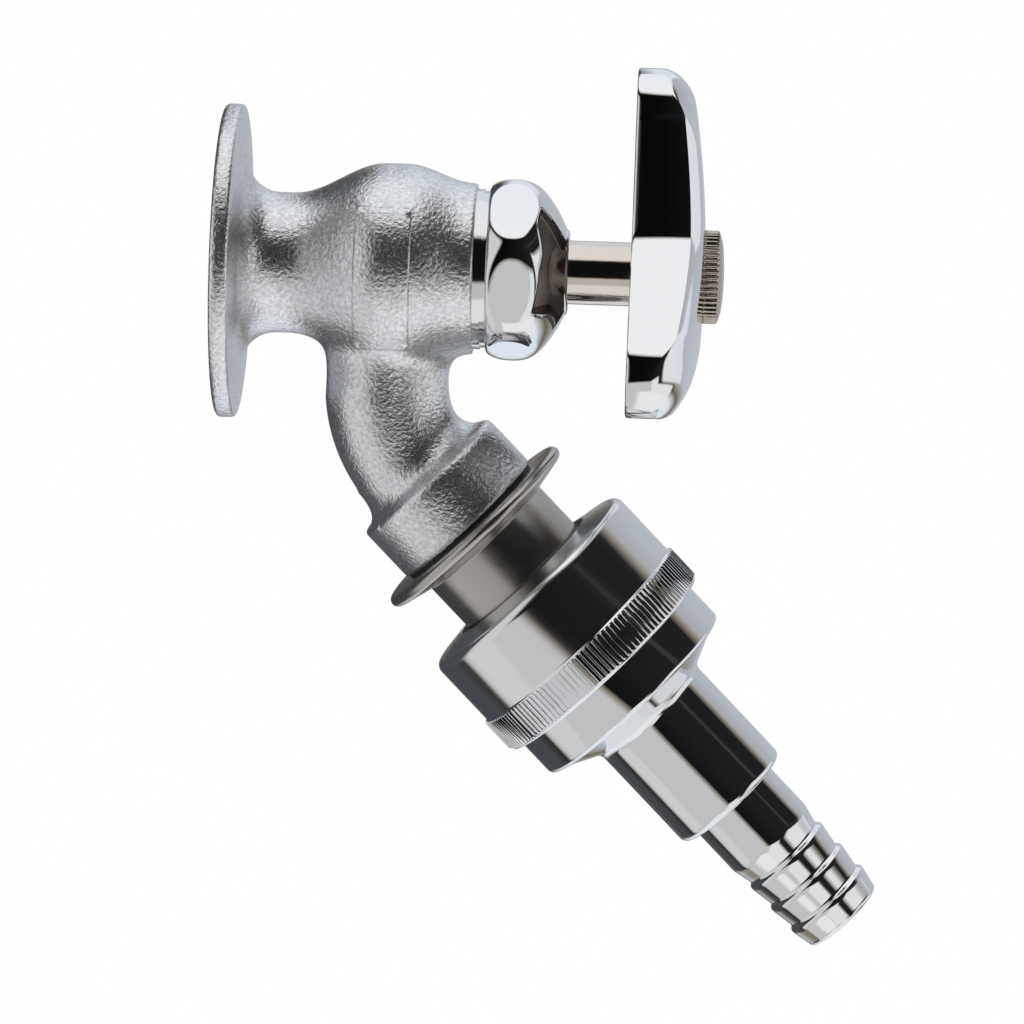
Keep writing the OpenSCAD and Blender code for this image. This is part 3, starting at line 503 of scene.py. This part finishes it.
step = np.roll(outline, -1, 0) - np.roll(outline, 1, 0)
inwards = np.stack([-step[:, 1], step[:, 0]], 1) / np.hypot(*step.T)[:, None]
top_rings, under_rings, gather = 48, 14, 2.4
rings = []
for share in (np.linspace(0, 1, top_rings) ** gather)[:-1]:
    flat = outline + (circle_of(seat_r) - outline) * share
    rings.append((flat, crowned(flat, inward_of(flat) if share else np.zeros(count))))
rings.append((circle_of(seat_r), np.full(count, height)))
rings.append((circle_of(seat_r - 0.1), np.full(count, height - seat_depth)))
polished = len(rings)
rings.append((circle_of(bore_r), np.full(count, height - seat_depth)))
rings.append((circle_of(bore_r), np.full(count, hub_foot)))
rings.append((circle_of(hub_r), np.full(count, hub_foot)))
under_edge = outline + inwards * wall
for share in np.linspace(1, 0, under_rings):
    flat = under_edge + (circle_of(hub_r) - under_edge) * share
    rings.append((flat, crowned(flat, inward_of(flat)) - wall))
polished_again = len(rings)
rings.append((under_edge, np.full(count, rim_foot)))
for inset, rise in ((wall - rim_foot, 0), (0.5, 0), (0.15, 0.15), (0, 0.5)):
    rings.append((outline + inwards * inset, np.full(count, rise)))
verts = [
    (foot + rise / 1000, p[1] / 1000, p[0] / 1000)
    for flat, heights in rings
    for p, rise in zip(flat, heights)
]
arm_handle = smooth_piece("arm_handle", verts, ring_faces(len(rings), count, turned=True), 38)
arm_handle.data.materials.append(chrome)
arm_handle.data.materials.append(plated("dull_underside", (0.38, 0.33, 0.29), 0.42, 0.15, 0.05, 420))
dulled = [int(polished <= j < polished_again) for j in range(len(rings)) for _ in range(count)]
arm_handle.data.polygons.foreach_set("material_index", dulled)
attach(arm_handle, "handle_group")
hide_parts("handle")

# Handle screw: brass with a thin nickel plate, 48 rounded flutes rolled round its head and a shallow
# domed end. Its dull, darker colour is painted shade: the shade that falls between the flutes, laid on
# the whole screw as colour. The profile lists the rise and the radius in millimetres, and the flutes'
# share of their depth.
flutes, flute_depth, screw_foot = 48, 0.00046, 0.0828
head_r, shank_r, shank_length, centre_r = 8.05, 2.5, 11, 0.02
steps = flutes * 12
turn = 2 * np.pi * np.arange(steps) / steps
groove_share = np.abs(np.cos(flutes / 2 * turn)) ** 3
profile = [(-shank_length, centre_r, 0), (-shank_length, shank_r, 0), (0, shank_r, 0)]
profile += [(0, 7.2, 0), (0, 7.75, 0.3)]
profile += [(0.25, head_r, 1), (2.45, head_r, 1), (2.62, 7.95, 0.9), (2.72, 7.75, 0.5), (2.85, 7.5, 0)]
profile += [(3.3, 6.0, 0), (3.55, 4.0, 0), (3.66, 2.0, 0), (3.7, centre_r, 0)]
verts = []
for rise, r, cut in profile:
    for a, deep in zip(turn, groove_share):
        here = r / 1000 - flute_depth * deep * cut
        verts.append((screw_foot + rise / 1000, here * math.cos(a), here * math.sin(a)))
faces = ring_faces(len(profile), steps, closed=False)
faces += [tuple(range(steps))[::-1], tuple(range(len(verts) - steps, len(verts)))]
fluted_screw = smooth_piece("fluted_screw", verts, faces, 42)
# The nickel's darker colour is painted shade from between the flutes.
fluted_screw.data.materials.append(plated("tinted_nickel", (0.52, 0.46, 0.39), 0.13, 0.10, 0.02, 420))
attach(fluted_screw, "handle_group")
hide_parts("handle_cap")

# Nozzle: turned from brass bar in one piece with its disc, satin nickelled, and screwed into the outlet
# collar. The lathe below also makes the three chromed pieces that follow. Profiles are in millimetres
# from the elbow.
elbow = Vector((leg_x, 0, elbow_z))
outlet_axis = Vector((math.sqrt(0.5), 0, -math.sqrt(0.5)))
outlet_across = Vector((math.sqrt(0.5), 0, math.sqrt(0.5)))
outlet_front = Vector((0, -1, 0))


def lathed(name, profile, steps=256, soft=0.25):
    """Revolves a closed profile of (place, radius) in millimetres round the outlet, its corners softened."""
    support, gentle = 0.06, math.radians(171)
    corners = []
    for i, here in enumerate(profile):
        before, after = Vector(profile[i - 1]), Vector(profile[(i + 1) % len(profile)])
        here = Vector(here)
        first, second = before - here, after - here
        bend = first.angle(second, math.pi) if first.length and second.length else math.pi
        if bend > gentle:
            corners.append(here)
            continue
        cut = min(soft, 0.4 * first.length, 0.4 * second.length)
        start, end = here + first.normalized() * cut, here + second.normalized() * cut
        corners.append(here + first.normalized() * min(cut + support, 0.45 * first.length))
        for t in (0, 0.2, 0.4, 0.6, 0.8, 1):
            corners.append(start * (1 - t) ** 2 + here * 2 * t * (1 - t) + end * t**2)
        corners.append(here + second.normalized() * min(cut + support, 0.45 * second.length))
    turns = [2 * math.pi * i / steps for i in range(steps)]
    verts = [
        elbow + (outlet_axis * s + (outlet_across * math.cos(a) + outlet_front * math.sin(a)) * r) / 1000
        for s, r in corners
        for a in turns
    ]
    return smooth_piece(name, verts, ring_faces(len(corners), steps, turned=True), 35, outwards=True)


def groove(start, end, outer_r, floor_r, slope=0.0):
    """Profile points of a groove turned into a round surface."""
    return [(start, outer_r), (start + slope, floor_r), (end - slope, floor_r), (end, outer_r)]


disc_at, rim_at, rim_r, rim_half, disc_end = 21.384, 22.484, 18.55, 1.1, 24.984
thread_at, thread_r, bore_r, tube_r, tube_end, chamfer = 12.384, 10.45, 8, 12.85, 58.584, 1.0
rim_turns = np.radians(np.linspace(0, 165, 12))
profile = [(thread_at, bore_r), (thread_at, thread_r), (disc_at, thread_r)]
profile += [(rim_at - rim_half * math.cos(a), rim_r + rim_half * math.sin(a)) for a in rim_turns]
profile += [(disc_end, tube_r)] + groove(41.534, 46.334, tube_r, 11.35, slope=1.2)
profile += groove(51.384, 53.784, tube_r, 10.7)
profile += [(tube_end - chamfer, tube_r), (tube_end, tube_r - chamfer), (tube_end, bore_r)]
nozzle = lathed("tail_nozzle", profile, soft=0.2)
satin = plated("satin_nickel", (0.50, 0.48, 0.455), 0.20, 0.10, 0.006, 700)
satin.node_tree.nodes["Principled BSDF"].inputs["Anisotropic"].default_value = 0.5
nozzle.data.materials.append(satin)
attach(nozzle, "tap")
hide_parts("nozzle")

# Sleeve: turned from brass, the knurls rolled into its ring, then mirror chromed over them. Its upper
# part was buffed less than the rest, and its mouth least of all, so the bands there have soft edges.
# Geometry Nodes sets the knurls round the ring as bars with a rounded crest.
mouth_at, mouth_r, face_at, face_r, body_from, body_r = 34.284, 14.4, 35.284, 19.65, 37.184, 21.55
body_to, end_at, end_r, spring_r, spring_from = 48.184, 55.284, 21.6, 19.95, 46.734
guide_r, guide_from, ball_r, ball_from = 16.3, 42.134, 18.0, 36.034
crest_r, root_r, knurl_from, knurl_to, knurls = 22.2, 21.82, 48.484, 54.784, 136


def rounded(start, corner, end, count, first=0.0):
    """Profile points of a rounded corner, whose ends run along the lines that meet in the corner."""
    return [
        tuple((1 - t) ** 2 * a + 2 * t * (1 - t) * b + t * t * c for a, b, c in zip(start, corner, end))
        for t in np.linspace(first, 1, count)
    ]


profile = [(mouth_at, mouth_r), ((mouth_at + face_at) / 2, (mouth_r + face_r) / 2), (face_at, face_r)]
profile += rounded((face_at, face_r), (face_at, body_r), (body_from, body_r), 16, first=0.06)
profile += [(body_to, body_r), (knurl_from, root_r), (knurl_to, root_r), (end_at, end_r)]
profile += [(end_at, spring_r), (spring_from, spring_r), (spring_from, guide_r), (guide_from, guide_r)]
profile += [(guide_from, ball_r), (ball_from, ball_r), (ball_from, mouth_r)]
sleeve = lathed("release_sleeve", profile, steps=272)
sleeve.data.materials.append(chrome)
for name, roughness in (("soft_chrome", 0.10), ("mouth_chrome", 0.20)):
    sleeve.data.materials.append(plated(name, (0.86, 0.865, 0.875), roughness, 0.02, 0.004, 160))
soft_to, mouth_to = 0.0480, 0.0368
for face in sleeve.data.polygons:
    along_sleeve = (face.center - elbow).dot(outlet_axis)
    face.material_index = int(along_sleeve < soft_to) + int(along_sleeve < mouth_to)
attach(sleeve, "sleeve")
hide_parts("coupling_sleeve")
bar_share, sunk, bevel, crest_share = 0.62, 0.15, 0.25, 0.95
width, depth = 2 * math.pi * crest_r / knurls * bar_share, crest_r - root_r + sunk
section = [(-0.5, 0), (-0.36, 0.62), (-0.16, crest_share), (0.16, crest_share), (0.36, 0.62), (0.5, 0)]
section = [(across * width, (rise / crest_share) * depth) for across, rise in section]
length = knurl_to - knurl_from
verts = []
for s, sink in ((0, bevel), (bevel, 0), (length - bevel, 0), (length, bevel)):
    for across, rise in section:
        verts.append((across / 1000, max(rise - sink * (rise > 0), 0) / 1000, s / 1000))
corners = len(section)
faces = ring_faces(4, corners, closed=False)
faces += [tuple(range(corners))[::-1], tuple(range(3 * corners, 4 * corners))]
mesh = bpy.data.meshes.new("knurl_bar")
mesh.from_pydata(verts, [], faces)
bar = bpy.data.objects.new("knurl_bar", mesh)
bpy.context.collection.objects.link(bar)
tree = bpy.data.node_groups.new("knurl_ring", "GeometryNodeTree")
tree.interface.new_socket("Geometry", in_out="OUTPUT", socket_type="NodeSocketGeometry")
for name, kind, value in (
    ("Knurls", "NodeSocketInt", knurls),
    ("Root Radius", "NodeSocketFloat", (crest_r - depth) / 1000),
):
    tree.interface.new_socket(name, in_out="INPUT", socket_type=kind).default_value = value
given, result = tree.nodes.new("NodeGroupInput"), tree.nodes.new("NodeGroupOutput")
circle = tree.nodes.new("GeometryNodeCurvePrimitiveCircle")
places = tree.nodes.new("GeometryNodeCurveToPoints")
instance = tree.nodes.new("GeometryNodeInstanceOnPoints")
shape = tree.nodes.new("GeometryNodeObjectInfo")
shape.inputs["Object"].default_value = bar
spin = tree.nodes.new("ShaderNodeVectorMath")
spin.operation = "SCALE"
spin.inputs[0].default_value = (0, 0, 1)
number = tree.nodes.new("GeometryNodeInputIndex")
part_turn = tree.nodes.new("ShaderNodeMath")
part_turn.operation = "DIVIDE"
full_turn = tree.nodes.new("ShaderNodeMath")
full_turn.operation = "MULTIPLY_ADD"
full_turn.inputs[1].default_value = 2 * math.pi
full_turn.inputs[2].default_value = -math.pi / 2
realize = tree.nodes.new("GeometryNodeRealizeInstances")
dress = tree.nodes.new("GeometryNodeSetMaterial")
dress.inputs["Material"].default_value = chrome
for leaving, entering in (
    (given.outputs["Root Radius"], circle.inputs["Radius"]),
    (circle.outputs["Curve"], places.inputs["Curve"]),
    (given.outputs["Knurls"], places.inputs["Count"]),
    (places.outputs["Points"], instance.inputs["Points"]),
    (shape.outputs["Geometry"], instance.inputs["Instance"]),
    (number.outputs[0], part_turn.inputs[0]),
    (given.outputs["Knurls"], part_turn.inputs[1]),
    (part_turn.outputs[0], full_turn.inputs[0]),
    (full_turn.outputs[0], spin.inputs["Scale"]),
    (spin.outputs["Vector"], instance.inputs["Rotation"]),
    (instance.outputs["Instances"], realize.inputs["Geometry"]),
    (realize.outputs["Geometry"], dress.inputs["Geometry"]),
    (dress.outputs["Geometry"], result.inputs["Geometry"]),
):
    tree.links.new(leaving, entering)
holder = bpy.data.objects.new("knurl_holder", bpy.data.meshes.new("knurl_holder"))
bpy.context.collection.objects.link(holder)
holder.modifiers.new("ring", "NODES").node_group = tree
made = bpy.data.meshes.new_from_object(holder.evaluated_get(bpy.context.evaluated_depsgraph_get()))
stand = Matrix((outlet_across, outlet_front, outlet_axis)).transposed().to_4x4()
made.transform(Matrix.Translation(elbow + outlet_axis * knurl_from / 1000) @ stand)
bpy.data.objects.remove(holder)
bpy.data.objects.remove(bar)
turn_outwards(made)
made.set_sharp_from_angle(angle=math.radians(25))
knurl_ring = bpy.data.objects.new("sleeve_knurls", made)
bpy.context.collection.objects.link(knurl_ring)
made.materials.clear()
made.materials.append(chrome)
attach(knurl_ring, "sleeve")

# Socket: turned from brass and mirror chromed, with a soft shoulder down to the stepped end that holds
# the tail. The sleeve slides on its upper part, and the snap ring in its groove stops it.
seal_r, nose_r, slide_r, groove_r, shoulder_r, step_r = 12.95, 15.9, 16.2, 15.4, 19.9, 11.35
nose_at, step_end, tail_bore_r, tail_from, water_r, seal_from = 39.334, 88.0, 8.75, 75.0, 6.5, 61.484
profile = [(nose_at, seal_r), (nose_at, nose_r), (nose_at + 0.3, slide_r)]
profile += groove(41.034, 42.034, slide_r, groove_r) + [(53.734, slide_r), (53.734, shoulder_r)]
profile += rounded((61.984, shoulder_r), (63.134, shoulder_r), (63.134, 18.0), 17)
profile += rounded((65.834, 12.55), (66.434, step_r), (67.634, step_r), 17)
profile += rounded((86.5, step_r), (step_end, step_r), (step_end, 9.7), 17)
profile += [(step_end, tail_bore_r), (tail_from, tail_bore_r), (tail_from, water_r), (seal_from, water_r)]
profile += [(seal_from, seal_r)]
socket = lathed("hose_socket", profile, soft=0.2)
socket.data.materials.append(chrome)
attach(socket, "coupling")
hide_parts("coupling_socket")

# Hose tail: a brass tube turned with three barbs and chromed, pressed into the socket on its O-ring.
barb_at, barbs, pitch, barb_slope, barb_land = 101.0, 3, 5.2, 0.6, 0.6
tail_at, bore_r, pressed_r, neck_r, root_r, crest_r, tip_at = 75.05, 5, 8.7, 8.5, 7.65, 8.32, 116.6
profile = [(tail_at, bore_r), (tail_at, pressed_r)] + groove(77.35, 79.05, pressed_r, 7.15)
profile += [(step_end, pressed_r), (step_end, neck_r), (97.5, neck_r)]
for start in (barb_at + i * pitch for i in range(barbs)):
    profile += [(start, root_r), (start + barb_slope, crest_r), (start + barb_slope + barb_land, crest_r)]
profile += rounded((tip_at - 0.9, root_r), (tip_at, root_r), (tip_at, root_r - 1.15), 13)
profile += [(tip_at, bore_r)]
tail = lathed("barbed_tail", profile, soft=0.4)
tail.data.materials.append(chrome)
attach(tail, "coupling")
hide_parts("hose_tail")

# Pieces carried over from the CAD: the two rings under the nut, the stem and what is sealed inside, in
# nickel, brass, steel, rubber and plastic.
bright = plated("bright_nickel", (0.80, 0.80, 0.80), 0.05, 0.05, 0.02)
warm = plated("warm_nickel", (0.74, 0.68, 0.62), 0.06, 0.06, 0.02, 420)
brass = plated("plain_brass", (0.80, 0.62, 0.30), 0.22, 0.15, 0.02)
steel = plated("spring_steel", (0.62, 0.62, 0.63), 0.14, 0.08, 0.01)
rubber = bpy.data.materials.new("black_rubber")
plastic = bpy.data.materials.new("dark_plastic")
for material, colour, roughness in (
    (rubber, (0.012, 0.012, 0.012), 0.55),
    (plastic, (0.035, 0.035, 0.037), 0.42),
):
    material.use_nodes = True
    nodes, links = material.node_tree.nodes, material.node_tree.links
    surface = nodes["Principled BSDF"]
    surface.inputs["Base Color"].default_value = (*colour, 1)
    surface.inputs["Roughness"].default_value = roughness
    place = nodes.new("ShaderNodeTexCoord")
    grain = nodes.new("ShaderNodeTexNoise")
    grain.inputs["Scale"].default_value = 1800
    links.new(place.outputs["Object"], grain.inputs["Vector"])
    bump = nodes.new("ShaderNodeBump")
    bump.inputs["Strength"].default_value = 0.2
    bump.inputs["Distance"].default_value = 0.0002
    links.new(grain.outputs["Fac"], bump.inputs["Height"])
    links.new(bump.outputs["Normal"], surface.inputs["Normal"])
for material, names in (
    (bright, ("bonnet_washer", "bonnet_gasket")),
    (warm, ("spindle",)),
    (brass, ("packing_washer", "jumper", "jumper_nut")),
    (steel, ("sleeve_ring", "locking_balls", "release_spring")),
    (rubber, ("stem_packing", "jumper_washer", "nozzle_gasket", "nozzle_oring")),
    (rubber, ("socket_seal", "tail_oring")),
    (plastic, ("sleeve_wiper",)),
):
    for name in names:
        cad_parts[name].data.materials.clear()
        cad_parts[name].data.materials.append(material)
